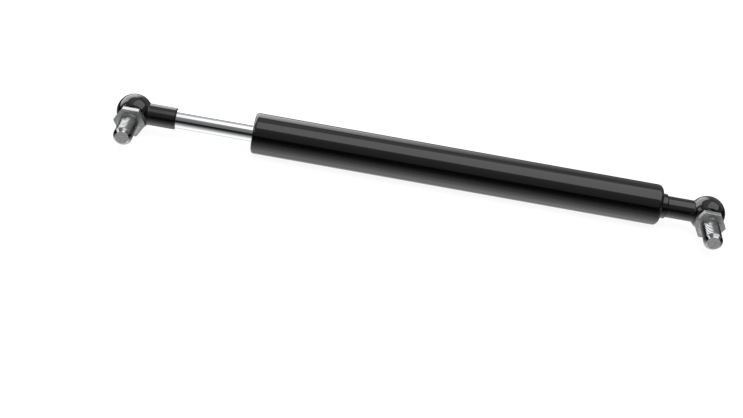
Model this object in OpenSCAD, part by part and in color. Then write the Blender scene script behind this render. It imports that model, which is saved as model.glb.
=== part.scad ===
// Gas strut with a ball joint at each end, lying on its tube.
// Frame: the origin is the centre of the ball at the tube end. The strut lies along X with the
// rod end towards -X, both threaded studs point along -Y, and +Z is up. Sizes are millimetres.
// Inside the modules, s is the distance from the origin along the strut, towards the rod end.

/* [Pressure tube] */
// Length of the tube over its rolled ends
tube_length = 221; // [180:1:300]
// Outer diameter of the tube
tube_d = 22; // [18:0.5:28]
// Wall of the tube and of its rolled ends
tube_wall = 1.5; // [1.2:0.1:2]
// Outer radius of the rolled edge at the rod end
rod_edge_r = 1.8; // [1.6:0.1:2.4]
// Outer radius of the rolled shoulder at the closed end
plug_edge_r = 3; // [2.4:0.1:4]

/* [Piston rod] */
// Diameter of the rod
rod_d = 10; // [8:0.5:12]
// Length of rod in view between tube and socket, as stored
rod_showing = 42; // [5:1:110]
// Length of rod left in view when the strut is pushed right in
rod_left_closed = 2; // [1:0.5:6]
// Free length behind the piston when the strut is pushed right in
closed_reserve = 10; // [4:0.5:20]
// Diameter of the spigot that carries the piston
spigot_d = 6; // [5:0.5:7]
// Height of the riveted head on the spigot
rivet_h = 2; // [1.5:0.1:3]

/* [End threads] */
// Outer diameter of the threads on rod and end plug
thread_d = 8; // [6:1:8]
// Length of each thread
thread_length = 11.5; // [8:0.5:12]

/* [Ball sockets] */
// Diameter of the balls
ball_d = 13; // [11:0.5:14]
// Wall of the socket head round the ball
head_wall = 3; // [2.5:0.1:4]
// Distance from ball centre to the end of the socket neck
socket_reach = 22.5; // [21.5:0.5:30]
// Diameter of the socket neck
neck_d = 11.6; // [11:0.1:14]
// Radius of the hollow corner between neck and head
neck_fillet_r = 0.8; // [0.4:0.1:1.2]
// Chamfer round the end of the neck
neck_chamfer = 0.4; // [0.2:0.1:0.8]
// Distance from the front of the ball to the rim of the mouth
mouth_past_ball = 0; // [-0.5:0.1:1.5]

/* [Retaining clips] */
// Diameter of the clip wire
clip_wire_d = 1.2; // [1:0.1:1.4]
// Angle at the ball centre between the mouth axis and the clip wire
clip_angle = 62; // [60:0.5:66]
// Angle left open between the ends of the clip
clip_opening = 50; // [30:5:90]

/* [Ball studs] */
// Diameter of the stud neck below the ball
stud_neck_d = 8; // [6:0.5:8]
// Distance from the mouth of the socket to the hexagon
hex_standoff = 4; // [3.5:0.1:8]
// Hexagon across its flats
hex_af = 15; // [13:1:17]
// Thickness of the hexagon
hex_thickness = 3; // [2.5:0.1:6]
// Depth of the chamfer at the corners of the hexagon's seat
hex_chamfer = 0.2; // [0.1:0.1:0.8]
// Turn of the hexagon round the stud, as stored
hex_turn = 0; // [0:1:60]
// Diameter of the threaded shank
shank_d = 10; // [8:1:12]
// Length of the threaded shank
shank_length = 17.5; // [12:0.5:30]
// Chamfer at the tip of the shank
shank_chamfer = 1.5; // [1:0.1:2.2]

/* [Guide and seals] */
// Height of the wiper ring
wiper_h = 3; // [2:0.1:4]
// Wall of the rod guide round the wiper
guide_wall = 1.5; // [1:0.1:2]
// Length of the rod guide
guide_h = 13; // [10:0.5:18]
// Wall of the guide bush
bush_wall = 1; // [0.8:0.1:1.5]
// Height of the rod seal
seal_h = 6; // [5:0.5:8]
// Thickness of the support ring behind the seal
support_h = 2.5; // [2:0.1:4]
// Thickness of the retaining ring
retainer_h = 1.5; // [1:0.1:2]
// Depth of the retaining ring's groove in the tube
retainer_groove = 0.55; // [0.3:0.05:0.8]
// Radial width of the retaining ring
retainer_w = 2.1; // [1.6:0.1:2.4]
// Angle left open between the ends of the retaining ring
retainer_opening = 24; // [10:2:60]

/* [Piston] */
// Length of the piston
piston_h = 8; // [6:0.5:12]
// Height of the piston ring
ring_h = 2.6; // [2:0.1:3]
// Radial width of the piston ring
ring_w = 1.4; // [1:0.1:1.6]
// Thickness of the stop disc in front of the piston
stop_disc_h = 1.5; // [1:0.1:2.5]
// Thickness of the valve disc behind the piston
valve_disc_h = 1; // [0.8:0.1:1.5]
// Diameter of the damping hole
orifice_d = 1.2; // [0.8:0.1:1.6]
// Width of the labyrinth channel
channel_w = 0.9; // [0.6:0.1:1.2]
// Depth of the labyrinth channel
channel_depth = 0.6; // [0.3:0.1:1]

/* [End plug] */
// Length of the end plug inside the tube
plug_h = 12; // [9:0.5:16]
// Diameter of the collar between tube and socket
collar_d = 13.3; // [12:0.1:15]
// Length of the collar outside the tube
collar_length = 3; // [2:0.1:6]
// Thickness of the sealing ring's cord
cord_d = 1.8; // [1.5:0.1:2.2]

/* [Clearances] */
// Gap round a piece that is fixed in the tube
fixed_gap = 0.05; // [0.02:0.01:0.1]
// Gap between the rod and what it slides through
rod_gap = 0.05; // [0.03:0.01:0.08]
// Gap between the piston ring and the tube
ring_gap = 0.05; // [0.03:0.01:0.08]
// Gap between the piston and the tube
piston_gap = 0.25; // [0.15:0.05:0.5]
// Gap round each ball
ball_gap = 0.1; // [0.05:0.01:0.15]
// Gap round the clip wire in its groove
clip_gap = 0.1; // [0.05:0.01:0.15]
// Gap between a thread and its hole
thread_gap = 0.05; // [0.02:0.01:0.1]
// Gap between stop disc and retaining ring when the strut is right out
stop_gap = 0.5; // [0.2:0.1:1]

/* [Hidden] */
$fn = 96;
over = 0.5;                  // how far a cutting shape runs past what it cuts
fine_bevel = 0.3;            // broken edge of a turned or pressed piece

tube_r = tube_d / 2;
bore_r = tube_r - tube_wall;
rod_r = rod_d / 2;
ball_r = ball_d / 2;
thread_r = thread_d / 2;
thread_tip = 0.8;            // chamfer at the tip of the end threads

// Stations along the strut
tube_s0 = socket_reach + collar_length;
tube_s1 = tube_s0 + tube_length;
plug_s0 = tube_s0 + tube_wall;
plug_s1 = plug_s0 + plug_h;
cord_s = plug_s0 + plug_h / 2;
rod_shoulder_s = tube_s1 + rod_showing;
rod_ball_s = rod_shoulder_s + socket_reach;

// Depths from the rod end face of the tube, going in
guide_t0 = tube_wall;
wiper_t1 = guide_t0 + wiper_h;
seal_t0 = guide_t0 + guide_h;
support_t0 = seal_t0 + seal_h;
retainer_t0 = support_t0 + support_h;
retainer_t1 = retainer_t0 + retainer_h;

// Piston: what is riveted on the spigot, and the travel that is left for it
pack_h = stop_disc_h + piston_h + valve_disc_h;
stroke = tube_length - tube_wall - plug_h - closed_reserve - rivet_h - pack_h - stop_gap - retainer_t1;
rod_left_open = rod_left_closed + stroke;
stop_disc_s = tube_s1 - retainer_t1 - stop_gap - (rod_left_open - rod_showing);
piston_s = stop_disc_s - stop_disc_h;
valve_disc_s = piston_s - piston_h;
rivet_s = valve_disc_s - valve_disc_h;
spigot_r = spigot_d / 2;
piston_r = bore_r - piston_gap;
ring_r = bore_r - ring_gap;
ring_floor_r = ring_r - ring_w - ring_gap;
ring_s = piston_s - piston_h / 2;

// Guide and seals: what is fixed in the bore, the pocket of the wiper and the hole for its lip
fixed_r = bore_r - fixed_gap;
sliding_r = rod_r + rod_gap;
pocket_r = bore_r - guide_wall;
lip_hole_r = rod_r + (pocket_r - rod_r) * 8 / 15;
seal_room = fixed_r - sliding_r;
seal_mid_r = sliding_r + seal_room / 2;

// Ball joint
cavity_r = ball_r + ball_gap;
head_r = cavity_r + head_wall;
wire_r = clip_wire_d / 2;
clip_reach = ball_r + wire_r + ball_gap / 2;
clip_r = clip_reach * sin(clip_angle);
clip_y = clip_reach * cos(clip_angle);
groove_r = wire_r + clip_gap;
mouth_y = ball_r + mouth_past_ball;
hex_y0 = mouth_y + hex_standoff;
hex_y1 = hex_y0 + hex_thickness;
shank_y1 = hex_y1 + shank_length;

black_paint = "#1d1e20";
black_polymer = "#242527";
chrome = "#d3d6da";
zinc_plate = "#a9abae";
spring_steel = "#c6c9cc";
cast_zinc = "#8f959b";
bronze = "#a27a3d";
seal_rubber = "#2b2b2d";
ring_polymer = "#d9d4c5";

// Turns a shape that is drawn round Z so that Z runs along the strut
module along_strut() {
    rotate([0, -90, 0]) children();
}

// Turns a shape that is drawn round Z so that Z runs out through the mouth of a socket
module along_stud() {
    rotate([90, 0, 0]) children();
}

// Depth into the tube from its rod end face
module from_rod_face() {
    along_strut() translate([0, 0, tube_s1]) mirror([0, 0, 1]) children();
}

// Place of the ball joint at the rod end, which faces the other way
module at_rod_ball() {
    translate([-rod_ball_s, 0, 0]) mirror([1, 0, 0]) children();
}

// Outer corner of a profile that is cut away to round it; dx and dy point into the profile
module round_off(at, r, dx, dy) {
    translate(at) difference() {
        translate([dx > 0 ? -over : -r, dy > 0 ? -over : -r]) square(r + over);
        translate([dx * r, dy * r]) circle(r);
    }
}

// The same corner cut away at 45 degrees
module bevel(at, size, dx, dy) {
    far = size + over;
    translate(at) polygon([
        [-dx * over, dy * far], [dx * far, -dy * over], [-dx * over, -dy * over]
    ]);
}

// Section of a ring between two radii and two heights
module section(r0, r1, z0, z1) {
    translate([r0, z0]) square([r1 - r0, z1 - z0]);
}

// Tube with both ends rolled in, and the groove of the retaining ring in its bore
module pressure_tube() {
    color(black_paint) along_strut() rotate_extrude() difference() {
        section(0, tube_r, tube_s0, tube_s1);
        round_off([tube_r, tube_s0], plug_edge_r, -1, 1);
        round_off([tube_r, tube_s1], rod_edge_r, -1, -1);
        difference() {
            section(-over, bore_r, plug_s0, tube_s1 - tube_wall);
            round_off([bore_r, plug_s0], plug_edge_r - tube_wall, -1, 1);
        }
        section(-over, collar_d / 2 + fixed_gap, tube_s0 - over, plug_s0 + over);
        section(-over, lip_hole_r, tube_s1 - tube_wall - over, tube_s1 + over);
        translate([0, tube_s1 - retainer_t1 - fixed_gap])
            square([bore_r + retainer_groove, retainer_h + 2 * fixed_gap]);
    }
}

// Plug rolled into the closed end, with its collar, thread, cord groove and centre hole
module end_plug() {
    plug_bevel = 0.6;
    centre_r = 1.6;
    groove_h = cord_d + 0.6;
    color(black_paint) along_strut() rotate_extrude() difference() {
        union() {
            section(0, fixed_r, plug_s0, plug_s1);
            section(0, collar_d / 2, socket_reach, plug_s0);
            section(0, thread_r, socket_reach - thread_length, socket_reach);
        }
        round_off([fixed_r, plug_s0], plug_edge_r - tube_wall + fixed_gap, -1, 1);
        bevel([fixed_r, plug_s1], plug_bevel, -1, -1);
        bevel([collar_d / 2, socket_reach], fine_bevel, -1, 1);
        bevel([thread_r, socket_reach - thread_length], thread_tip, -1, 1);
        section(bore_r - cord_d, bore_r, cord_s - groove_h / 2, cord_s + groove_h / 2);
        polygon([
            [-over, plug_s1 + over], [centre_r + over, plug_s1 + over],
            [-over, plug_s1 - centre_r - over]
        ]);
    }
}

// Round cord that seals the end plug in the bore
module end_plug_seal() {
    color(seal_rubber) along_strut() translate([0, 0, cord_s])
        rotate_extrude() translate([bore_r - cord_d / 2, 0]) circle(cord_d / 2 - fixed_gap / 2);
}

// Ball socket: head and neck are turned round the strut's line, the inside round the stud's
module socket() {
    hole_depth = thread_length + 0.5;
    difference() {
        along_strut() rotate_extrude() socket_outline();
        along_stud() rotate_extrude() mouth_outline();
        along_strut() translate([0, 0, socket_reach - hole_depth])
            cylinder(r = thread_r + thread_gap, h = hole_depth + over);
    }
}

// Half section of head and neck, with the hollow corner between them
module socket_outline() {
    neck_r = neck_d / 2;
    fillet_y = neck_r + neck_fillet_r;
    fillet_s = sqrt(pow(head_r + neck_fillet_r, 2) - pow(fillet_y, 2));
    touch = head_r / (head_r + neck_fillet_r);
    difference() {
        union() {
            intersection() {
                circle(head_r);
                section(0, head_r, -head_r, head_r);
            }
            section(0, neck_r, 0, socket_reach);
            difference() {
                polygon([
                    [0, 0], [touch * fillet_y, touch * fillet_s],
                    [fillet_y, fillet_s], [neck_r, fillet_s], [0, fillet_s]
                ]);
                translate([fillet_y, fillet_s]) circle(neck_fillet_r);
            }
        }
        bevel([neck_r, socket_reach], neck_chamfer, -1, -1);
    }
}

// Half section of what is cut away: cavity, mouth, clip groove, rim chamfer and the open front
module mouth_outline() {
    rim_cut = 0.15;
    intersection() {
        circle(cavity_r);
        section(0, cavity_r, -cavity_r, cavity_r);
    }
    section(0, cavity_r, 0, mouth_y + over);
    translate([clip_r, clip_y]) circle(groove_r);
    polygon([
        [0, mouth_y - rim_cut], [cavity_r, mouth_y - rim_cut],
        [cavity_r + 2 * rim_cut, mouth_y + rim_cut], [0, mouth_y + rim_cut]
    ]);
    section(0, head_r + over, mouth_y, head_r + over);
}

module tube_end_socket() {
    color(black_polymer) socket();
}

module rod_end_socket() {
    color(black_polymer) at_rod_ball() socket();
}

// Wire clip, open at one side, that holds the ball in its socket
module clip() {
    along_stud() translate([0, 0, clip_y]) rotate([0, 0, clip_opening / 2])
        rotate_extrude(angle = 360 - clip_opening) translate([clip_r, 0]) circle(wire_r);
}

module tube_end_clip() {
    color(spring_steel) clip();
}

module rod_end_clip() {
    color(spring_steel) at_rod_ball() clip();
}

// Ball, neck, hexagon and shank turned from one bar; the hexagon's face is the seat
module ball_stud() {
    ball_flat = 0.3;
    hex_r = hex_af / 2 / cos(30);
    shank_r = shank_d / 2;
    along_stud() {
        rotate_extrude() difference() {
            union() {
                intersection() {
                    circle(ball_r);
                    section(0, ball_r, -ball_r + ball_flat, ball_r);
                }
                section(0, stud_neck_d / 2, 0, hex_y0);
                section(0, shank_r, hex_y0, shank_y1);
            }
            bevel([shank_r, shank_y1], shank_chamfer, -1, -1);
        }
        translate([0, 0, hex_y0]) rotate([0, 0, hex_turn]) intersection() {
            cylinder(r = hex_r, h = hex_thickness, $fn = 6);
            cylinder(r1 = hex_r + hex_thickness, r2 = hex_r - hex_chamfer, h = hex_thickness);
        }
    }
}

module tube_end_ball_stud() {
    color(zinc_plate) ball_stud();
}

module rod_end_ball_stud() {
    color(zinc_plate) translate([-rod_ball_s, 0, 0]) ball_stud();
}

// Wiper with a lip that runs out through the rolled edge and scrapes the rod
module wiper_ring() {
    lip_r = lip_hole_r - fixed_gap;
    lip_w = lip_r - sliding_r;
    lip_top = 0.3;
    t0 = guide_t0 + fixed_gap;
    t1 = wiper_t1 - fixed_gap;
    color(seal_rubber) from_rod_face() rotate_extrude() polygon([
        [sliding_r, t0], [sliding_r + lip_w / 5, lip_top], [lip_r - lip_w / 5, lip_top],
        [lip_r, lip_top + 0.4], [lip_r, t0], [pocket_r - fixed_gap, t0], [pocket_r - fixed_gap, t1],
        [sliding_r + lip_w / 3, t1], [sliding_r + lip_w / 3, t0 + 1], [sliding_r, t0 + 0.5]
    ]);
}

// Guide that carries the bush, with a pocket for the wiper and a grease groove outside
module rod_guide() {
    guide_bevel = 0.4;
    groove_depth = 0.5;
    groove_t0 = wiper_t1 + 1;
    groove_t1 = seal_t0 - 3;
    color(cast_zinc) from_rod_face() rotate_extrude() difference() {
        section(sliding_r + bush_wall + fixed_gap, fixed_r, guide_t0, seal_t0);
        section(0, pocket_r, guide_t0 - over, wiper_t1);
        section(fixed_r - groove_depth, fixed_r + over, groove_t0, groove_t1);
        bevel([fixed_r, guide_t0], guide_bevel, -1, 1);
        bevel([fixed_r, seal_t0], guide_bevel, -1, -1);
    }
}

// Plain bearing bush that the rod slides in
module guide_bush() {
    color(bronze) from_rod_face() rotate_extrude()
        section(sliding_r, sliding_r + bush_wall, wiper_t1 + fixed_gap, seal_t0);
}

// Lip seal: two lips that the gas pressure spreads against rod and bore
module rod_seal() {
    step = seal_room / 44;
    t1 = support_t0 - fixed_gap;
    cleft_t = seal_t0 + seal_h * 0.4;
    color(seal_rubber) from_rod_face() rotate_extrude() polygon([
        [sliding_r + 5 * step, seal_t0], [fixed_r - 3 * step, seal_t0], [fixed_r, seal_t0 + 1],
        [fixed_r, t1 - 0.6], [fixed_r - 6 * step, t1], [seal_mid_r + 9 * step, t1],
        [seal_mid_r + 5 * step, cleft_t], [seal_mid_r - 5 * step, cleft_t],
        [seal_mid_r - 9 * step, t1], [sliding_r + 6 * step, t1],
        [sliding_r, t1 - 1], [sliding_r, t1 - 1.8], [sliding_r + 5 * step, t1 - 2.8]
    ]);
}

// Support ring, with a nose that stands between the lips of the seal
module support_ring() {
    nose_r = 3 * seal_room / 44;
    nose_h = seal_h / 3;
    color(zinc_plate) from_rod_face() rotate_extrude() {
        section(sliding_r + fine_bevel, fixed_r, support_t0, retainer_t0);
        section(seal_mid_r - nose_r, seal_mid_r + nose_r, support_t0 - nose_h, support_t0 + over);
    }
}

// Open ring, sprung into the groove of the tube, that keeps guide and seals in place
module retaining_ring() {
    outer_r = fixed_r + retainer_groove;
    color(spring_steel) from_rod_face() rotate([0, 0, retainer_opening / 2])
        rotate_extrude(angle = 360 - retainer_opening)
            section(outer_r - retainer_w, outer_r, retainer_t0, retainer_t1);
}

// Split ring that runs on the bore in the piston's groove
module piston_ring() {
    split = 4;
    ring_bevel = 0.2;
    color(ring_polymer) along_strut() rotate([0, 0, split / 2])
        rotate_extrude(angle = 360 - split) difference() {
            section(ring_r - ring_w, ring_r, ring_s - ring_h / 2, ring_s + ring_h / 2);
            bevel([ring_r, ring_s + ring_h / 2], ring_bevel, -1, -1);
            bevel([ring_r, ring_s - ring_h / 2], ring_bevel, -1, 1);
        }
}

// Rod with its end thread, and the spigot riveted over behind the piston
module piston_rod() {
    rivet_r = spigot_r + 1.5;
    rivet_round = 1.2;
    color(chrome) along_strut() rotate_extrude() difference() {
        union() {
            section(0, spigot_r, rivet_s, stop_disc_s);
            section(0, rivet_r, rivet_s - rivet_h, rivet_s);
            section(0, rod_r, stop_disc_s, rod_shoulder_s);
            section(0, thread_r, rod_shoulder_s, rod_shoulder_s + thread_length);
        }
        round_off([rivet_r, rivet_s - rivet_h], rivet_round, -1, 1);
        bevel([rod_r, rod_shoulder_s], fine_bevel, -1, -1);
        bevel([thread_r, rod_shoulder_s + thread_length], thread_tip, -1, -1);
    }
}

// Disc that meets the retaining ring when the strut is right out
module stop_disc() {
    disc_r = bore_r - 0.9;
    color(zinc_plate) along_strut() rotate_extrude() difference() {
        section(spigot_r + fixed_gap, disc_r, piston_s, stop_disc_s);
        bevel([disc_r, stop_disc_s], fine_bevel, -1, -1);
    }
}

// Piston with its ring groove, the damping hole and the labyrinth channel it opens into
module piston() {
    hole_r = (spigot_r + ring_floor_r) / 2;
    groove_h = ring_h + 2 * ring_gap;
    piston_bevel = 0.4;
    channel_turn = 300;
    channel_z = valve_disc_s - over;
    color(cast_zinc) along_strut() difference() {
        rotate_extrude() difference() {
            section(spigot_r + fixed_gap, piston_r, valve_disc_s, piston_s);
            section(ring_floor_r, bore_r, ring_s - groove_h / 2, ring_s + groove_h / 2);
            bevel([piston_r, piston_s], piston_bevel, -1, -1);
            bevel([piston_r, valve_disc_s], piston_bevel, -1, 1);
        }
        translate([hole_r, 0, channel_z]) cylinder(r = orifice_d / 2, h = piston_h + 2 * over);
        translate([0, 0, channel_z]) {
            rotate_extrude(angle = channel_turn)
                section(hole_r - channel_w / 2, hole_r + channel_w / 2, 0, channel_depth + over);
            rotate([0, 0, channel_turn]) translate([hole_r - channel_w / 2, -channel_w, 0])
                cube([bore_r - hole_r, channel_w, channel_depth + over]);
        }
    }
}

// Thin disc that lifts to let the gas past, with three notches in its edge
module valve_disc() {
    disc_r = ring_floor_r - 0.2;
    notch_r = 1.2;
    cut_h = valve_disc_h + 2 * over;
    color(spring_steel) along_strut() translate([0, 0, rivet_s]) difference() {
        cylinder(r = disc_r, h = valve_disc_h);
        translate([0, 0, -over]) cylinder(r = spigot_r + fixed_gap, h = cut_h);
        for (turn = [60:120:300]) rotate([0, 0, turn])
            translate([disc_r, 0, -over]) cylinder(r = notch_r, h = cut_h);
    }
}

pressure_tube();
end_plug();
end_plug_seal();
tube_end_socket();
wiper_ring();
rod_guide();
guide_bush();
rod_seal();
support_ring();
retaining_ring();
piston_ring();
piston_rod();
stop_disc();
piston();
valve_disc();
rod_end_socket();
tube_end_clip();
tube_end_ball_stud();
rod_end_clip();
rod_end_ball_stud();
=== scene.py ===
# Looks of the gas strut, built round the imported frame. Sizes in the functions are millimetres,
# in the CAD's frame: x along the strut, the studs towards -y, z up. The meshes are metres.
import math

import bmesh
import bpy
import numpy as np
from mathutils import Matrix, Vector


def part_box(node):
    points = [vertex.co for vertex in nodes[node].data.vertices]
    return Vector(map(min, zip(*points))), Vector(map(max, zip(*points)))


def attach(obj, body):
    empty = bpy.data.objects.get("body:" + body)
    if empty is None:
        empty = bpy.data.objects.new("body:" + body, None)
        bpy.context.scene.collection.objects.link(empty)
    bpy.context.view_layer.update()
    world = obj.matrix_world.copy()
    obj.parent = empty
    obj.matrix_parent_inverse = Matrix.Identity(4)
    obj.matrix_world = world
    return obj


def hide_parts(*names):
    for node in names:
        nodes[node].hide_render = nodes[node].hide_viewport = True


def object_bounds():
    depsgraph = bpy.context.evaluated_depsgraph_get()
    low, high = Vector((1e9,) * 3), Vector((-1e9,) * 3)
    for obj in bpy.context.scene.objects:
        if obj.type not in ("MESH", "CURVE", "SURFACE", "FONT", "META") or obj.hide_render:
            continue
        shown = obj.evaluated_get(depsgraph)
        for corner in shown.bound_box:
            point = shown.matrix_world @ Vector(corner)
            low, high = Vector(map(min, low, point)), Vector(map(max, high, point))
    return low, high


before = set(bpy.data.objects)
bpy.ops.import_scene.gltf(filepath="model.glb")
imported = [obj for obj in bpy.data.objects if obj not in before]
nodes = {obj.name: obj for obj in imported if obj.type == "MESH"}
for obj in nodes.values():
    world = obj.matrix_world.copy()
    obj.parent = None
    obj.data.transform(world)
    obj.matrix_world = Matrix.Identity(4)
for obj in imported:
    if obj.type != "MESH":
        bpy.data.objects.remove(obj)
cad_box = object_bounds()
MM = 0.001


def node_box(name):
    """Lowest and highest corner of a CAD node, in millimetres."""
    low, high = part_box(name)
    return np.array(low) / MM, np.array(high) / MM


# Sizes read from the frame
TUBE_LOW, TUBE_HIGH = node_box("pressure_tube")
TUBE_R = TUBE_HIGH[2]
HEAD_LOW, HEAD_HIGH = node_box("tube_end_socket")
HEAD_R = HEAD_HIGH[0]
REACH = -HEAD_LOW[0]
ROD_BALL_X = node_box("rod_end_socket")[0][0] + HEAD_R
ROD_SHOULDER_X = ROD_BALL_X + REACH
PLUG_BACK_X = node_box("end_plug")[0][0]
SPIGOT_X = node_box("stop_disc")[0][0]
RIVET_END_X = node_box("piston_rod")[1][0]

# Tube, plug and rod
TUBE_WALL = 1.5
BORE_R = TUBE_R - TUBE_WALL
TUBE_MOUTH_R = 6.6
ROD_EDGE_R = 1.8
PLUG_EDGE_R = 3.0
PLUG_CENTRE = 1.6
PLUG_CHAMFER = 0.6
CORD_GROOVE_X = 6
CORD_GROOVE_HALF = 1.2
CORD_GROOVE_DEPTH = 1.8
COLLAR_R = 6.65
ROD_R = 5.0
SPIGOT_R = 3.0
RIVET_R = 4.5
RIVET_LENGTH = 2.0
RIVET_ROUND_R = 1.2
THREAD_R = 4.0
THREAD_LENGTH = 11.5
THREAD_CHAMFER = 0.8
BROKEN_EDGE = 0.3
FIT_GAP = 0.05

# Sockets and clips
NECK_R = 5.8
NECK_FILLET_R = 0.8
NECK_CHAMFER = 0.4
NECK_ROOT_X, NECK_ROOT_R = 7.1, 5.6
HOLE_RUN = 0.5
CAVITY_R = 6.6
MOUTH_A = 6.5
MOUTH_CHAMFER = 0.15
CLIP_WIRE_R = 0.6
CLIP_GAP = 0.1
CLIP_R = 6.313
CLIP_A = 3.357
CLIP_OPEN_DEG = 50

# Points round a turned or bent piece, and along a wire
STRUT_TURNS = 144
HEAD_TURNS = 128
STUD_TURNS = 192
SHANK_ROWS = 251
WIRE_TURNS = 20
CLIP_STATIONS = 90
CAP_STATIONS = 6

# Ball studs, with heights a out of the socket's mouth. The thread's depth, crest and flank are parts of its
# pitch, and it starts and fades in at distances from the hexagon's face.
BALL_R = 6.5
BALL_FLAT = 0.3
STUD_NECK_R = 4.0
STUD_FILLET_R = 0.5
HEX_A0, HEX_A1 = 10.5, 13.5
HEX_AF = 15.0
HEX_EDGE = 0.12
HEX_CORNER = 0.04
HEX_CONE = 0.2
SHANK_R = 5.0
SHANK_GAP = 0.005
SHANK_CHAMFER = 1.5
STUD_TIP_A = 31.0
PITCH = 1.5
THREAD_DEPTH, THREAD_CREST, THREAD_FLANK = 0.32, 0.40, 0.15
THREAD_START = 3.8
THREAD_FADE = 1.2
NEAR = 0.1

# Wiper, with distances from the tube's end
WIPER_LIP_R = 5.05
WIPER_BACK_R = 5.55
WIPER_MOUTH_R = 6.55
WIPER_FOOT_R = 7.95
WIPER_STEP_X = 1.55
WIPER_BACK_X = 4.45


def shell(name, points, ring=False):
    """Mesh over a grid of points, rows by columns, in millimetres. The columns wrap round. With ring, the
    rows wrap round too; otherwise the first and the last row lie on the axis and become one point each."""
    rows, cols = points.shape[:2]
    if ring:
        verts = points.reshape(-1, 3)
        index = np.arange(rows * cols).reshape(rows, cols)
        index = np.vstack([index, index[:1]])
    else:
        verts = np.vstack([points[0, :1], points[1:-1].reshape(-1, 3), points[-1, :1]])
        index = np.empty((rows, cols), int)
        index[0], index[-1] = 0, len(verts) - 1
        index[1:-1] = 1 + np.arange((rows - 2) * cols).reshape(rows - 2, cols)
    right = np.roll(index, -1, axis=1)
    quads = np.stack([index[:-1], right[:-1], right[1:], index[1:]], axis=-1)
    if ring:
        faces = quads.reshape(-1, 4).tolist()
    else:
        first, last = quads[0][:, [0, 2, 3]], quads[-1][:, :3]
        faces = first.tolist() + quads[1:-1].reshape(-1, 4).tolist() + last.tolist()
    mesh = bpy.data.meshes.new(name)
    mesh.from_pydata((verts * MM).tolist(), [], faces)
    mesh.validate()
    return mesh


def piece(name, meshes, sharp_deg=28):
    """One object from one or more closed meshes, with outward faces and smooth shading up to the sharp
    angle."""
    whole = bmesh.new()
    for mesh in meshes:
        whole.from_mesh(mesh)
        bpy.data.meshes.remove(mesh)
    bmesh.ops.recalc_face_normals(whole, faces=whole.faces)
    mesh = bpy.data.meshes.new(name)
    whole.to_mesh(mesh)
    whole.free()
    mesh.shade_smooth()
    mesh.set_sharp_from_angle(angle=math.radians(sharp_deg))
    made = bpy.data.objects.new(name, mesh)
    bpy.context.scene.collection.objects.link(made)
    return made


def arc(a, r, radius, start_deg, end_deg, steps):
    """Points of an arc round (a, r), from one angle to the other; 0 degrees points along a, 90 along r."""
    turn = np.radians(np.linspace(start_deg, end_deg, steps + 1))
    return np.column_stack([a + radius * np.cos(turn), r + radius * np.sin(turn)])


def guarded(profile, ring=False, guard=0.12):
    """Profile with a point close to each end of its long stretches, so that smooth shading stays at the
    corners."""
    points = np.asarray(profile, float)
    after = np.vstack([points[1:], points[:1]])
    out = []
    for here, there in zip(points, after):
        length = np.hypot(*(there - here))
        out.append(here)
        if length > 4 * guard:
            way = (there - here) / length
            out += [here + way * guard, there - way * guard]
    if not ring:
        while not np.array_equal(out[-1], points[-1]):
            out.pop()
    return np.array(out)


def along_strut(profile):
    """Profile of (x, radius) turned round the strut's line: (x, r cos t, r sin t)."""
    turn = np.linspace(0, 2 * np.pi, STRUT_TURNS, endpoint=False)
    x, r = profile[:, :1], profile[:, 1:]
    return np.stack([x + 0 * turn, r * np.cos(turn), r * np.sin(turn)], axis=-1)


def along_stud(a, r, turn, centre_x):
    """Grid of heights a out of the mouth, radii r and turns: (centre + r cos t, -a, r sin t)."""
    return np.stack([centre_x + r * np.cos(turn), -a + 0 * turn, r * np.sin(turn)], axis=-1)


def pressure_tube():
    """Drawn tube: outside with a small rolled edge at the rod end and a large one at the other, then the
    bore."""
    x0, x1 = TUBE_LOW[0], TUBE_HIGH[0]
    inner = PLUG_EDGE_R - TUBE_WALL
    outline = np.vstack([
        [[x0, TUBE_MOUTH_R], [x0, TUBE_R - ROD_EDGE_R]],
        arc(x0 + ROD_EDGE_R, TUBE_R - ROD_EDGE_R, ROD_EDGE_R, 180, 90, 12),
        arc(x1 - PLUG_EDGE_R, TUBE_R - PLUG_EDGE_R, PLUG_EDGE_R, 90, 0, 16),
        [[x1, COLLAR_R + FIT_GAP], [x1 - TUBE_WALL, COLLAR_R + FIT_GAP]],
        arc(x1 - TUBE_WALL - inner, BORE_R - inner, inner, 0, 90, 6),
        [[x0 + TUBE_WALL, BORE_R], [x0 + TUBE_WALL, TUBE_MOUTH_R]],
    ])
    return shell("tube", along_strut(guarded(outline, ring=True)), ring=True)


def end_plug():
    """Plug with its cord groove inside the tube, the collar outside it and the thread in the socket."""
    back = PLUG_BACK_X
    inside = TUBE_HIGH[0] - TUBE_WALL
    outer = BORE_R - FIT_GAP
    bottom = BORE_R - CORD_GROOVE_DEPTH
    round_r = PLUG_EDGE_R - TUBE_WALL + FIT_GAP
    groove = inside - CORD_GROOVE_X
    near, far = groove - CORD_GROOVE_HALF, groove + CORD_GROOVE_HALF
    thread_end = -REACH + THREAD_LENGTH
    outline = np.vstack([
        [[back + PLUG_CENTRE, 0], [back, PLUG_CENTRE]],
        [[back, outer - PLUG_CHAMFER], [back + PLUG_CHAMFER, outer]],
        [[near, outer], [near, bottom], [far, bottom], [far, outer]],
        arc(inside - round_r, outer - round_r, round_r, 90, 0, 6),
        [[inside, COLLAR_R], [-REACH - BROKEN_EDGE, COLLAR_R], [-REACH, COLLAR_R - BROKEN_EDGE]],
        [[-REACH, THREAD_R], [thread_end - THREAD_CHAMFER, THREAD_R]],
        [[thread_end, THREAD_R - THREAD_CHAMFER], [thread_end, 0]],
    ])
    return shell("plug", along_strut(guarded(outline)))


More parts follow.
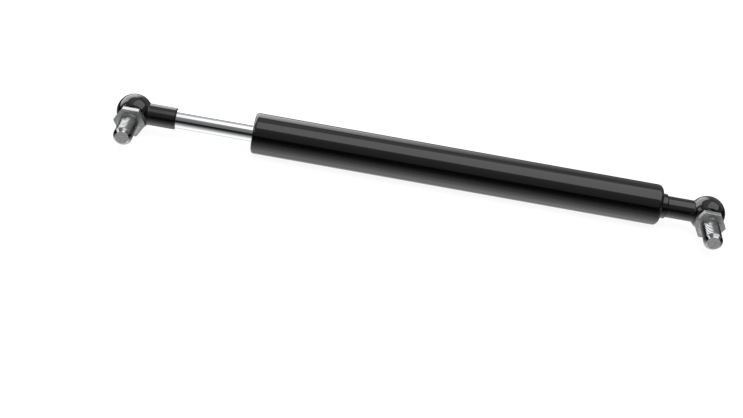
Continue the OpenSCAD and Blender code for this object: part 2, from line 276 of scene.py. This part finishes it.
def piston_rod():
    """Rod with its broken edge and thread at the socket, and the spigot with its riveted head inside the
    tube."""
    tip, shoulder = ROD_SHOULDER_X - THREAD_LENGTH, ROD_SHOULDER_X
    rivet_x = RIVET_END_X - RIVET_LENGTH
    outline = np.vstack([
        [[tip, 0], [tip, THREAD_R - THREAD_CHAMFER], [tip + THREAD_CHAMFER, THREAD_R], [shoulder, THREAD_R]],
        [[shoulder, ROD_R - BROKEN_EDGE], [shoulder + BROKEN_EDGE, ROD_R]],
        [[SPIGOT_X, ROD_R], [SPIGOT_X, SPIGOT_R], [rivet_x, SPIGOT_R], [rivet_x, RIVET_R]],
        arc(RIVET_END_X - RIVET_ROUND_R, RIVET_R - RIVET_ROUND_R, RIVET_ROUND_R, 90, 0, 6),
        [[RIVET_END_X, 0]],
    ])
    return shell("rod", along_strut(guarded(outline)))


def socket_neck(centre_x, way):
    """Neck of a socket, turned round the strut's line: it starts inside the head's wall, leaves the head in a
    hollow corner and ends in a chamfer round its threaded hole. The way is +1 or -1 along x."""
    fillet_y = NECK_R + NECK_FILLET_R
    fillet_s = math.sqrt((HEAD_R + NECK_FILLET_R) ** 2 - fillet_y ** 2)
    lean = math.degrees(math.atan2(fillet_y, fillet_s))
    hole_r, hole_end = THREAD_R + FIT_GAP, REACH - THREAD_LENGTH - HOLE_RUN
    outline = np.vstack([
        [[NECK_ROOT_X, 0], [NECK_ROOT_X, NECK_ROOT_R]],
        arc(fillet_s, fillet_y, NECK_FILLET_R, 180 + lean, 270, 8),
        [[REACH - NECK_CHAMFER, NECK_R], [REACH, NECK_R - NECK_CHAMFER], [REACH, hole_r]],
        [[hole_end, hole_r], [hole_end, 0]],
    ])
    outline = guarded(outline)
    outline[:, 0] = centre_x + way * outline[:, 0]
    return shell("neck", along_strut(outline))


def socket_head(centre_x):
    """Round head, turned round the stud's line: the ball outside, the flat rim of the mouth with its small
    chamfer, the straight mouth, the groove of the clip and the cavity behind it."""
    rim_deg = math.degrees(math.acos(MOUTH_A / HEAD_R))
    groove_r = CLIP_WIRE_R + CLIP_GAP
    dip = CLIP_A - math.sqrt(groove_r ** 2 - (CAVITY_R - CLIP_R) ** 2)
    rise = 2 * CLIP_A - dip
    cut = math.degrees(math.acos((CAVITY_R - CLIP_R) / groove_r))
    outline = np.vstack([
        arc(0, 0, HEAD_R, 180, rim_deg, 48),
        [[MOUTH_A, CAVITY_R + MOUTH_CHAMFER], [MOUTH_A - MOUTH_CHAMFER, CAVITY_R]],
        [[rise + NEAR / 2, CAVITY_R]],
        arc(CLIP_A, CLIP_R, groove_r, 90 - cut, 90 + cut, 8),
        [[dip - NEAR / 2, CAVITY_R]],
        arc(0, 0, CAVITY_R, 90, 180, 20),
    ])
    outline = guarded(outline)
    outline[0, 1] = outline[-1, 1] = 0
    turn = np.linspace(0, 2 * np.pi, HEAD_TURNS, endpoint=False)
    return shell("head", along_stud(outline[:, :1], outline[:, 1:], turn, centre_x))


def ball_stud(centre_x):
    """Ball, neck, hexagon and threaded shank as one grid of heights and turns. The hexagon's radius is
    flat / cos(turn from the middle of the flat), with its edges broken and its front corners turned down to
    a cone. On the shank the radius falls by the thread's depth, with straight flanks between a broad crest
    and a narrow root, along a wave of height / pitch - turn / 2 pi. The thread fades in after the hexagon
    and is cut to a cone at the tip. Rows near to a corner keep the smooth shading at the corner."""
    turn = np.linspace(0, 2 * np.pi, STUD_TURNS, endpoint=False)
    full = np.ones_like(turn)
    from_flat = turn % (np.pi / 3) - np.pi / 6
    corner_r = HEX_AF / 2 / math.cos(math.pi / 6)
    hex_r = np.minimum(HEX_AF / 2 / np.cos(from_flat), corner_r - HEX_CORNER)
    cone_r = corner_r - HEX_CONE
    ball_end = BALL_R - BALL_FLAT
    flat_r = math.sqrt(BALL_R ** 2 - ball_end ** 2)
    flat_deg = 180 - math.degrees(math.atan2(flat_r, ball_end))
    joint_a = math.sqrt(BALL_R ** 2 - STUD_NECK_R ** 2)
    joint_deg = math.degrees(math.atan2(STUD_NECK_R, joint_a))
    front = np.vstack([
        [[-ball_end, 0], [-ball_end, flat_r - NEAR]],
        arc(0, 0, BALL_R, flat_deg, joint_deg, 30),
        [[joint_a + NEAR, STUD_NECK_R], [HEX_A0 - STUD_FILLET_R - NEAR, STUD_NECK_R]],
        arc(HEX_A0 - STUD_FILLET_R, STUD_NECK_R + STUD_FILLET_R, STUD_FILLET_R, 270, 360, 5),
    ])
    rows = [(front[:, :1] + 0 * turn, front[:, 1:] + 0 * turn)]
    face_r = np.minimum(hex_r - HEX_EDGE, cone_r)
    cone_a = HEX_A1 - np.maximum(hex_r - cone_r, HEX_EDGE)
    for height, radius in (
        (HEX_A0 * full, hex_r - HEX_EDGE - NEAR), (HEX_A0 * full, hex_r - HEX_EDGE),
        ((HEX_A0 + HEX_EDGE) * full, hex_r), ((HEX_A0 + HEX_EDGE + NEAR) * full, hex_r),
        (cone_a - NEAR, hex_r), (cone_a, hex_r), (HEX_A1 * full, face_r), (HEX_A1 * full, face_r - NEAR),
        (HEX_A1 * full, (SHANK_R + 2 * NEAR) * full),
    ):
        rows.append((height[None], radius[None]))
    heights = np.linspace(HEX_A1, STUD_TIP_A, SHANK_ROWS)[:, None] + 0 * turn
    wave = (heights / PITCH - turn / (2 * np.pi)) % 1
    filled = np.clip((THREAD_CREST - np.abs(wave - 0.5)) / THREAD_FLANK, 0, 1)
    fade = np.clip((heights - HEX_A1 - THREAD_START) / THREAD_FADE, 0, 1)
    radius = SHANK_R - SHANK_GAP - THREAD_DEPTH * PITCH * (1 - filled) * fade
    radius = np.minimum(radius, SHANK_R - SHANK_CHAMFER + STUD_TIP_A - heights)
    rows.append((heights[1:], radius[1:]))
    for tip_r in (SHANK_R - SHANK_CHAMFER - NEAR, 0):
        rows.append((STUD_TIP_A * full[None], tip_r * full[None]))
    a = np.vstack([row[0] for row in rows])
    r = np.vstack([row[1] for row in rows])
    return shell("stud", along_stud(a, r, turn, centre_x))


def clip(centre_x, way):
    """Round wire on a part of a circle round the stud's line, with round ends. Its gap looks along x, to
    +x or -x by the way +1 or -1."""
    half_open = math.radians(CLIP_OPEN_DEG / 2)
    end = CLIP_WIRE_R / CLIP_R
    cap = np.linspace(0, np.pi / 2, CAP_STATIONS)
    first = half_open + end * (1 - np.cos(cap))
    last = 2 * np.pi - first[::-1]
    stations = np.concatenate([first, np.linspace(first[-1], last[0], CLIP_STATIONS)[1:-1], last])
    size = np.concatenate([np.sin(cap), np.ones(CLIP_STATIONS - 2), np.sin(cap[::-1])]) * CLIP_WIRE_R
    round_wire = np.linspace(0, 2 * np.pi, WIRE_TURNS, endpoint=False)
    r = CLIP_R + size[:, None] * np.cos(round_wire)
    a = CLIP_A + size[:, None] * np.sin(round_wire)
    t = stations[:, None]
    points = np.stack([centre_x + way * r * np.cos(t), -a, r * np.sin(t)], axis=-1)
    return shell("clip", points)


def wiper():
    """Moulded wiper: the lip on the rod in the tube's mouth, with round edges, and the foot behind the
    edge."""
    x0 = TUBE_LOW[0]
    outline = np.vstack([
        [[x0 + WIPER_STEP_X, WIPER_LIP_R], [x0 + 0.6, WIPER_LIP_R + 0.2]],
        arc(x0 + 0.5, 5.5, 0.2, 230, 180, 3),
        arc(x0 + 0.6, 6.25, 0.3, 180, 90, 5),
        [[x0 + WIPER_STEP_X, WIPER_MOUTH_R], [x0 + WIPER_STEP_X, WIPER_FOOT_R]],
        [[x0 + WIPER_BACK_X, WIPER_FOOT_R], [x0 + WIPER_BACK_X, WIPER_BACK_R]],
        [[x0 + 2.55, WIPER_BACK_R], [x0 + 2.05, WIPER_LIP_R]],
    ])
    return shell("wiper", along_strut(guarded(outline, ring=True)), ring=True)


def linear(code):
    """Linear colour of an sRGB hex value."""
    parts = [int(code[i:i + 2], 16) / 255 for i in (1, 3, 5)]
    return [p / 12.92 if p <= 0.04045 else ((p + 0.055) / 1.055) ** 2.4 for p in parts] + [1.0]


def add(tree, kind, sockets=None, stops=(), **settings):
    """Adds a node with its settings. A socket's value is a constant, or (node, output name) for a link. The
    stops of a colour ramp are (position, grey or hex colour)."""
    made = tree.nodes.new(kind)
    for key, value in settings.items():
        setattr(made, key, value)
    for key, value in (sockets or {}).items():
        if isinstance(value, tuple) and len(value) == 2 and hasattr(value[0], "outputs"):
            tree.links.new(value[0].outputs[value[1]], made.inputs[key])
        else:
            made.inputs[key].default_value = value
    if stops:
        band = made.color_ramp
        band.elements.remove(band.elements[-1])
        for i, (place, colour) in enumerate(stops):
            stop = band.elements[0] if i == 0 else band.elements.new(place)
            stop.position = place
            stop.color = linear(colour) if isinstance(colour, str) else [colour, colour, colour, 1]
    return made


def new_material(name):
    """Material with an empty node tree."""
    made = bpy.data.materials.new(name)
    made.use_nodes = True
    made.node_tree.nodes.clear()
    return made, made.node_tree


# The scale of each pattern is its number of grains in a metre: 650 is a grain of 1.5 mm. The index of the
# two black finishes starts at the usual 1.5 and is matched to their strong gloss.
PEEL_SCALE, HAZE_SCALE = 650, 60
FLOW_SCALE = 220
GRIND_SCALE = (5000, 40, 40)
ZINC_SCALE, TURNED_SCALE = 900, (120, 4000, 120)
BLACK_IOR = 1.7


def black_paint():
    """Baked black gloss paint on drawn tube: a deep mirror-like coat, with a very faint orange peel of about
    1.5 mm and a slow haze of about 17 mm in the gloss."""
    made, tree = new_material("baked_gloss_black_paint")
    place = add(tree, "ShaderNodeTexCoord")
    peel = add(tree, "ShaderNodeTexNoise", {"Vector": (place, "Object"), "Scale": PEEL_SCALE, "Detail": 2})
    haze = add(tree, "ShaderNodeTexNoise", {"Vector": (place, "Object"), "Scale": HAZE_SCALE, "Detail": 3})
    gloss = add(tree, "ShaderNodeMapRange", {"Value": (haze, "Fac"), "To Min": 0.025, "To Max": 0.045})
    bump = add(tree, "ShaderNodeBump", {"Height": (peel, "Fac"), "Strength": 0.01, "Distance": 0.0002})
    paint = add(tree, "ShaderNodeBsdfPrincipled", {
        "Base Color": linear("#060607"), "Roughness": (gloss, "Result"), "IOR": BLACK_IOR,
        "Normal": (bump, "Normal")})
    add(tree, "ShaderNodeOutputMaterial", {"Surface": (paint, 0)})
    return made


def black_polymer():
    """Glass-filled polyamide, moulded against a polished tool: black and glossy, with the faint cloudy flow
    marks of about 4.5 mm that the glass leaves in the gloss."""
    made, tree = new_material("moulded_black_polyamide")
    place = add(tree, "ShaderNodeTexCoord")
    flow = add(tree, "ShaderNodeTexNoise", {
        "Vector": (place, "Object"), "Scale": FLOW_SCALE, "Detail": 3, "Distortion": 0.6})
    gloss = add(tree, "ShaderNodeMapRange", {"Value": (flow, "Fac"), "To Min": 0.05, "To Max": 0.09})
    bump = add(tree, "ShaderNodeBump", {"Height": (flow, "Fac"), "Strength": 0.012, "Distance": 0.0003})
    plastic = add(tree, "ShaderNodeBsdfPrincipled", {
        "Base Color": linear("#0b0b0c"), "Roughness": (gloss, "Result"), "IOR": BLACK_IOR,
        "Normal": (bump, "Normal")})
    add(tree, "ShaderNodeOutputMaterial", {"Surface": (plastic, 0)})
    return made


def hard_chrome():
    """Ground and hard chromed rod: a bright, nearly neutral mirror with fine grinding lines that run round
    it, drawn every 0.2 mm, coarser than real so that they show."""
    made, tree = new_material("ground_hard_chrome")
    place = add(tree, "ShaderNodeTexCoord")
    lines = add(tree, "ShaderNodeMapping", {"Vector": (place, "Object"), "Scale": GRIND_SCALE})
    grind = add(tree, "ShaderNodeTexNoise", {"Vector": (lines, "Vector"), "Scale": 1, "Detail": 2})
    gloss = add(tree, "ShaderNodeMapRange", {"Value": (grind, "Fac"), "To Min": 0.02, "To Max": 0.045})
    bump = add(tree, "ShaderNodeBump", {"Height": (grind, "Fac"), "Strength": 0.012, "Distance": 0.00005})
    metal = add(tree, "ShaderNodeBsdfPrincipled", {
        "Base Color": linear("#eff1f3"), "Metallic": 1.0, "Roughness": (gloss, "Result"),
        "Normal": (bump, "Normal")})
    add(tree, "ShaderNodeOutputMaterial", {"Surface": (metal, 0)})
    return made


def band_of_stud(tree, height, low_a, high_a, soft):
    """Mask that is 1 where the height out of the mouth, which is -y, lies between two values in millimetres,
    and falls to 0 over a soft edge outside them."""
    low, high, edge = -high_a * MM, -low_a * MM, soft * MM
    rise = add(tree, "ShaderNodeMapRange", {"Value": height, "From Min": low - edge, "From Max": low})
    fall = add(tree, "ShaderNodeMapRange", {"Value": height, "From Min": high + edge, "From Max": high})
    return add(tree, "ShaderNodeMath", {0: (rise, "Result"), 1: (fall, "Result")}, operation="MULTIPLY")


def zinc_plate():
    """Turned steel with bright zinc plating: a soft grey metal, with faint turning rings every 0.25 mm round
    the stud and the mottled, slightly rough crystal of the zinc, of about 1 mm. The tip is the brightest, the
    hexagon is satin with darker drawn flats, and the thread, made by rolling, is half dull, with its colour
    darkened as painted shade for the shade that falls in its grooves."""
    made, tree = new_material("zinc_plated_turned_steel")
    place = add(tree, "ShaderNodeTexCoord")
    mottle = add(tree, "ShaderNodeTexNoise", {"Vector": (place, "Object"), "Scale": ZINC_SCALE, "Detail": 3})
    rings = add(tree, "ShaderNodeMapping", {"Vector": (place, "Object"), "Scale": TURNED_SCALE})
    turned = add(tree, "ShaderNodeTexNoise", {"Vector": (rings, "Vector"), "Scale": 1, "Detail": 2})
    along = add(tree, "ShaderNodeSeparateXYZ", {"Vector": (place, "Object")})
    drawn = band_of_stud(tree, (along, "Y"), HEX_A0, HEX_A1 - 0.3, 0.2)
    # Mask of the painted shade: over the thread the colour is darkened to stand for the shade in its grooves
    painted_thread_shade = band_of_stud(tree, (along, "Y"), HEX_A1 + 0.5, STUD_TIP_A - 0.3, 0.2)
    hexagon = band_of_stud(tree, (along, "Y"), HEX_A0, HEX_A1 + 0.3, 0.2)
    thread = band_of_stud(tree, (along, "Y"), HEX_A1 + 0.5, STUD_TIP_A - 1.9, 0.4)
    tint = add(tree, "ShaderNodeValToRGB", {"Fac": (mottle, "Fac")}, ((0.36, "#dadbdc"), (0.64, "#f8f8f8")))
    dull = add(tree, "ShaderNodeMix", {0: (drawn, "Value"), 6: (tint, "Color"), 7: linear("#a8a9aa")},
               data_type="RGBA")
    # b0b1b3 is the painted shade of the thread, mixed over the shank by that mask
    dark = add(tree, "ShaderNodeMix", {0: (painted_thread_shade, "Value"), 6: (dull, 2), 7: linear("#b0b1b3")},
               data_type="RGBA")
    shine = add(tree, "ShaderNodeMapRange", {"Value": (mottle, "Fac"), "To Min": 0.03, "To Max": 0.09})
    worn = add(tree, "ShaderNodeMath", {0: (thread, "Value"), 1: 0.11, 2: (shine, "Result")},
               operation="MULTIPLY_ADD")
    gloss = add(tree, "ShaderNodeMath", {0: (hexagon, "Value"), 1: 0.34, 2: (worn, "Value")},
                operation="MULTIPLY_ADD")
    both = add(tree, "ShaderNodeMath", {0: (turned, "Fac"), 1: (mottle, "Fac")}, operation="ADD")
    bump = add(tree, "ShaderNodeBump", {"Height": (both, "Value"), "Strength": 0.06, "Distance": 0.0001})
    metal = add(tree, "ShaderNodeBsdfPrincipled", {
        "Base Color": (dark, 2), "Metallic": 1.0, "Roughness": (gloss, "Value"), "Normal": (bump, "Normal")})
    add(tree, "ShaderNodeOutputMaterial", {"Surface": (metal, 0)})
    return made


def inner_metal(name, low, high, rough, grain):
    """Metal of an inner piece: two greys or browns mixed by a fine grain, with its own roughness."""
    made, tree = new_material(name)
    place = add(tree, "ShaderNodeTexCoord")
    noise = add(tree, "ShaderNodeTexNoise", {"Vector": (place, "Object"), "Scale": grain, "Detail": 4})
    tint = add(tree, "ShaderNodeValToRGB", {"Fac": (noise, "Fac")}, ((0.35, low), (0.65, high)))
    gloss = add(tree, "ShaderNodeMapRange", {
        "Value": (noise, "Fac"), "To Min": rough - 0.06, "To Max": rough + 0.06})
    bump = add(tree, "ShaderNodeBump", {"Height": (noise, "Fac"), "Strength": 0.1, "Distance": 0.0001})
    metal = add(tree, "ShaderNodeBsdfPrincipled", {
        "Base Color": (tint, "Color"), "Metallic": 1.0, "Roughness": (gloss, "Result"),
        "Normal": (bump, "Normal")})
    add(tree, "ShaderNodeOutputMaterial", {"Surface": (metal, 0)})
    return made


def inner_polymer(name, low, high, rough, grain, ior):
    """Rubber or polymer of an inner piece: a dull surface with a fine mottled grain."""
    made, tree = new_material(name)
    place = add(tree, "ShaderNodeTexCoord")
    noise = add(tree, "ShaderNodeTexNoise", {"Vector": (place, "Object"), "Scale": grain, "Detail": 4})
    tint = add(tree, "ShaderNodeValToRGB", {"Fac": (noise, "Fac")}, ((0.35, low), (0.65, high)))
    bump = add(tree, "ShaderNodeBump", {"Height": (noise, "Fac"), "Strength": 0.15, "Distance": 0.0001})
    soft = add(tree, "ShaderNodeBsdfPrincipled", {
        "Base Color": (tint, "Color"), "Roughness": rough, "IOR": ior, "Normal": (bump, "Normal")})
    add(tree, "ShaderNodeOutputMaterial", {"Surface": (soft, 0)})
    return made


paint = black_paint()
polymer = black_polymer()
chrome = hard_chrome()
zinc = zinc_plate()
# Wire and strip drawn cold: a smooth, half bright grey
spring = inner_metal("drawn_spring_steel", "#9fa2a6", "#c3c6c9", 0.24, 1200)
# The skin of a zinc casting: a dull, slightly cloudy grey
cast = inner_metal("die_cast_zinc", "#7f858b", "#9aa0a6", 0.42, 700)
# Bush rolled from sintered strip: a dull brown with a fine grain
bronze = inner_metal("sintered_bronze", "#7a5526", "#a57c40", 0.38, 1500)
# Seals moulded in a matt tool: nearly black, with hardly any shine
rubber = inner_polymer("moulded_nitrile_rubber", "#141415", "#1f1f20", 0.55, 900, 1.5)
# Ring turned from a filled tube: ivory and half matt
ring_polymer = inner_polymer("filled_sliding_polymer", "#b9b09a", "#d8d0bc", 0.5, 700, 1.4)

BUILT = (
    ("painted_pressure_tube", [pressure_tube()], paint, "tube", "pressure_tube", "painted_tube"),
    ("painted_end_plug", [end_plug()], paint, "tube", "end_plug", "painted_tube"),
    ("chromed_piston_rod", [piston_rod()], chrome, "rod", "piston_rod", "hard_chrome"),
    ("moulded_tube_end_socket", [socket_head(0), socket_neck(0, -1)], polymer, "tube",
     "tube_end_socket", "black_polymer"),
    ("moulded_rod_end_socket", [socket_head(ROD_BALL_X), socket_neck(ROD_BALL_X, 1)], polymer, "rod",
     "rod_end_socket", "black_polymer"),
    ("threaded_tube_end_stud", [ball_stud(0)], zinc, "tube_end_stud", "tube_end_ball_stud",
     "zinc_plated_steel"),
    ("threaded_rod_end_stud", [ball_stud(ROD_BALL_X)], zinc, "rod_end_stud", "rod_end_ball_stud",
     "zinc_plated_steel"),
    ("wire_tube_end_clip", [clip(0, 1)], spring, "tube_end_clip", "tube_end_clip", "spring_steel"),
    ("wire_rod_end_clip", [clip(ROD_BALL_X, -1)], spring, "rod_end_clip", "rod_end_clip", "spring_steel"),
    ("moulded_wiper", [wiper()], rubber, "tube", "wiper_ring", "seal_rubber"),
)
for name, meshes, material, body, node, slot in BUILT:
    made = piece(name, meshes)
    made.data.materials.append(material)
    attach(made, body)
    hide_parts(node)

INNER = {
    "end_plug_seal": rubber, "rod_seal": rubber, "rod_guide": cast, "guide_bush": bronze,
    "support_ring": zinc, "retaining_ring": spring, "stop_disc": zinc, "piston": cast,
    "piston_ring": ring_polymer, "valve_disc": spring,
}
for node, material in INNER.items():
    mesh = nodes[node].data
    if not mesh.materials:
        mesh.materials.append(material)
    for i in range(len(mesh.materials)):
        mesh.materials[i] = material


def grey_steps(steps):
    """Ramp stops from (elevation in degrees, brightness). A direction's height is the sine of its
    elevation."""
    return [((math.sin(math.radians(e)) + 1) / 2, v) for e, v in steps]


def panel(tree, under, level, edges):
    """Puts a panel of one brightness over what lies under it. Each edge is (node, where the panel has faded
    out, where it is full), and a point belongs to the panel inside all of its edges."""
    inside = None
    for value, faded, full in edges:
        edge = add(tree, "ShaderNodeMapRange", {"Value": (value, 0), "From Min": faded, "From Max": full},
                   interpolation_type="SMOOTHSTEP")
        inside = edge if inside is None else add(
            tree, "ShaderNodeMath", {0: (inside, 0), 1: (edge, 0)}, operation="MULTIPLY")
    return add(tree, "ShaderNodeMix", {0: (inside, 0), 2: (under, 0), 3: level}, data_type="FLOAT")


def wall_panel(tree, under, level, turns, heights, soft=2.0):
    """Panel between two azimuths (0 is +y, 90 is +x) and two elevations, in degrees, with edges this soft."""
    edges = []
    for value, (start, end) in ((azimuth, turns), (elevation, heights)):
        edges.append((value, math.radians(start - soft), math.radians(start + soft)))
        edges.append((value, math.radians(end + soft), math.radians(end - soft)))
    return panel(tree, under, level, edges)


# Brightness of the studio by elevation: a pale lower half, a dark horizon and a dim room above it
ROOM = (
    (-90, 1.33), (-81, 1.29), (-71, 1.10), (-56, 0.89), (-42, 0.50), (-29, 0.30), (-17, 0.088), (-6, 0.022),
    (0, 0.008), (12, 0.008), (14, 0.14), (38, 0.195), (54, 0.26), (58, 0.50), (90, 0.50),
)

# Brightness of the panels. Their edges are degrees in wall_panel and radians or slopes in panel.
GROUND_BEHIND, WALL_BEHIND, WINDOW_BEHIND, LEFT_STRIP, CEILING = 0.85, 0.34, 2.9, 1.55, 1.38
CEILING_SLANT = 1.37

world = bpy.data.worlds.new("studio")
bpy.context.scene.world = world
world.use_nodes = True
sky = world.node_tree
sky.nodes.clear()
toward = add(sky, "ShaderNodeTexCoord")
parts = add(sky, "ShaderNodeSeparateXYZ", {"Vector": (toward, "Generated")})
height = add(sky, "ShaderNodeMapRange", {"Value": (parts, "Z"), "From Min": -1.0, "From Max": 1.0})
azimuth = add(sky, "ShaderNodeMath", {0: (parts, "X"), 1: (parts, "Y")}, operation="ARCTAN2")
elevation = add(sky, "ShaderNodeMath", {0: (parts, "Z")}, operation="ARCSINE")
upward = add(sky, "ShaderNodeMath", {0: (parts, "Z"), 1: 0.05}, operation="MAXIMUM")
ceiling_x = add(sky, "ShaderNodeMath", {0: (parts, "X"), 1: (upward, 0)}, operation="DIVIDE")
ceiling_y = add(sky, "ShaderNodeMath", {0: (parts, "Y"), 1: (upward, 0)}, operation="DIVIDE")
ceiling_lean = add(sky, "ShaderNodeMath", {0: (ceiling_x, 0), 1: CEILING_SLANT}, operation="MULTIPLY")
ceiling_slant = add(sky, "ShaderNodeMath", {0: (ceiling_y, 0), 1: (ceiling_lean, 0)}, operation="SUBTRACT")
room = add(sky, "ShaderNodeValToRGB", {"Fac": (height, "Result")}, grey_steps(ROOM))
room = wall_panel(sky, room, GROUND_BEHIND, (-80, 40), (-98, -38), 6)
room = wall_panel(sky, room, WALL_BEHIND, (-90, 62), (3, 57))
room = panel(sky, room, WINDOW_BEHIND, (
    (azimuth, -1.35, -1.25), (azimuth, 0.20, -0.22), (elevation, 0.03, 0.08), (elevation, 0.86, 0.78)))
room = wall_panel(sky, room, LEFT_STRIP, (-125, -92), (18, 36))
room = panel(sky, room, CEILING, (
    (ceiling_x, -0.27, -0.05), (ceiling_x, 1.3, 1.2), (ceiling_y, -0.66, -0.58), (ceiling_y, 0.60, 0.52),
    (ceiling_slant, 0.26, 0.12)))
lit = add(sky, "ShaderNodeBackground", {"Color": (room, 0), "Strength": 1.0})
white = add(sky, "ShaderNodeBackground", {"Color": (1, 1, 1, 1), "Strength": 1.0})
ray = add(sky, "ShaderNodeLightPath")
seen = add(sky, "ShaderNodeMixShader", {0: (ray, "Is Camera Ray"), 1: (lit, 0), 2: (white, 0)})
add(sky, "ShaderNodeOutputWorld", {"Surface": (seen, 0)})

FLOOR_HALF = 3.0
FLOOR_GAP = 0.00002
FLOOR_GREY = (0.8, 0.8, 0.8, 1)
SHADOW_GREY = (0.12, 0.12, 0.12, 1)
FLOOR_GLOW = 0.92


def floor():
    """Pale floor that the tube lies on. The camera sees it white with the object's soft shadow; mirrors see
    the studio's pale lower half through it."""
    z, half = cad_box[0][2] - FLOOR_GAP, FLOOR_HALF
    mesh = bpy.data.meshes.new("studio_floor")
    corners = [(-half, -half, z), (half, -half, z), (half, half, z), (-half, half, z)]
    mesh.from_pydata(corners, [], [(0, 1, 2, 3)])
    made = bpy.data.objects.new("studio_floor", mesh)
    bpy.context.scene.collection.objects.link(made)
    material, tree = new_material("pale_floor")
    path = add(tree, "ShaderNodeLightPath")
    dull = add(tree, "ShaderNodeBsdfDiffuse", {"Color": FLOOR_GREY})
    shadow = add(tree, "ShaderNodeBsdfDiffuse", {"Color": SHADOW_GREY})
    glow = add(tree, "ShaderNodeEmission", {"Color": (1, 1, 1, 1), "Strength": FLOOR_GLOW})
    seen_floor = add(tree, "ShaderNodeAddShader", {0: (shadow, 0), 1: (glow, 0)})
    clear = add(tree, "ShaderNodeBsdfTransparent")
    first = add(tree, "ShaderNodeMixShader", {0: (path, "Is Camera Ray"), 1: (dull, 0), 2: (seen_floor, 0)})
    second = add(tree, "ShaderNodeMixShader", {0: (path, "Is Glossy Ray"), 1: (first, 0), 2: (clear, 0)})
    add(tree, "ShaderNodeOutputMaterial", {"Surface": (second, 0)})
    mesh.materials.append(material)


floor()


def soft_lamp(name, place, size, power):
    """Square lamp that points at the strut's middle and doesn't show in its gloss."""
    light = bpy.data.lights.new(name, "AREA")
    light.size = size
    light.energy = power
    lamp = bpy.data.objects.new(name, light)
    bpy.context.scene.collection.objects.link(lamp)
    middle = np.array([ROD_BALL_X / 2 * MM, 0, 0])
    away = np.array(place) - middle
    away /= np.linalg.norm(away)
    side = np.cross([0, 1, 0], away)
    side /= np.linalg.norm(side)
    pose = np.eye(4)
    pose[:3, 0], pose[:3, 1], pose[:3, 2], pose[:3, 3] = side, np.cross(away, side), away, place
    lamp.matrix_world = Matrix(pose.tolist())
    lamp.visible_glossy = False
    lamp.visible_camera = False


soft_lamp("overhead_lamp", (-0.1, -0.25, 1.2), 1.0, 12.0)

# The camera of the photograph, found by fitting the strut's outline
FRAME_WIDTH = 743
FOCAL_PX = 1496.51
SENSOR_WIDTH = 36
CAMERA_PLACE = np.array([-182.785, -709.834, 371.449])
CAMERA_RIGHT = np.array([0.984449, 0.081166, 0.155793])
CAMERA_UP = np.array([-0.175537, 0.48879, 0.854559])

camera_data = bpy.data.cameras.new("camera")
camera_data.sensor_width = SENSOR_WIDTH
camera_data.lens = SENSOR_WIDTH * FOCAL_PX / FRAME_WIDTH
camera_data.clip_start = 0.01
camera = bpy.data.objects.new("camera", camera_data)
bpy.context.scene.collection.objects.link(camera)
pose = np.eye(4)
pose[:3, 0], pose[:3, 1], pose[:3, 2] = CAMERA_RIGHT, CAMERA_UP, np.cross(CAMERA_RIGHT, CAMERA_UP)
pose[:3, 3] = CAMERA_PLACE * MM
camera.matrix_world = Matrix(pose.tolist())
bpy.context.scene.camera = camera

bpy.context.scene.view_settings.view_transform = "Standard"
